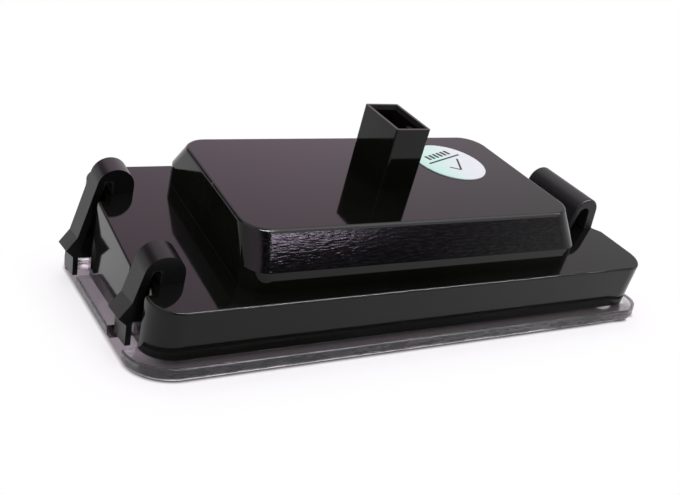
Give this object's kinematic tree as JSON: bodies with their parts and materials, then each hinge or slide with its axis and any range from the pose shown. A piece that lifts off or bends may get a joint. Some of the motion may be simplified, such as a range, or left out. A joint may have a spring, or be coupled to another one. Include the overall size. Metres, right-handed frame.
{
  "type": "number plate lamp",
  "caption": "Wedge-shaped snap-in number plate lamp with a clear lens, LED board, hairpin spring clips, an arch lug and a square connector shroud.",
  "frame": {"origin": "centre of the lens's outer face, which is the rest face", "axes": "+X along the lamp from the spring clips to the arch lug, +Y towards the tall side of the wedge, +Z from the lens to the connector shroud"},
  "size_m": [0.0747, 0.0358, 0.0256],
  "materials": {
    "housing": "glossy black moulded plastic",
    "lens": "clear polished plastic",
    "label": "pale satin paper",
    "board": "white solder-masked laminate",
    "led": "white frame with a yellow emitter face",
    "resistor": "black chip with tinned ends",
    "diode": "matt black moulded body",
    "pin": "tinned brass"
  },
  "bodies": {
    "root": {"housing": "housing", "lens": "lens", "inspection_label": "label", "circuit_board": "board", "led_01": "led", "led_02": "led", "led_03": "led", "led_04": "led", "led_05": "led", "led_06": "led", "led_07": "led", "led_08": "led", "led_09": "led", "led_10": "led", "led_11": "led", "led_12": "led", "led_13": "led", "led_14": "led", "led_15": "led", "led_16": "led", "led_17": "led", "led_18": "led", "resistor_1": "resistor", "resistor_2": "resistor", "resistor_3": "resistor", "resistor_4": "resistor", "resistor_5": "resistor", "resistor_6": "resistor", "diode": "diode", "terminal_pin_1": "pin", "terminal_pin_2": "pin"}
  },
  "joints": []
}
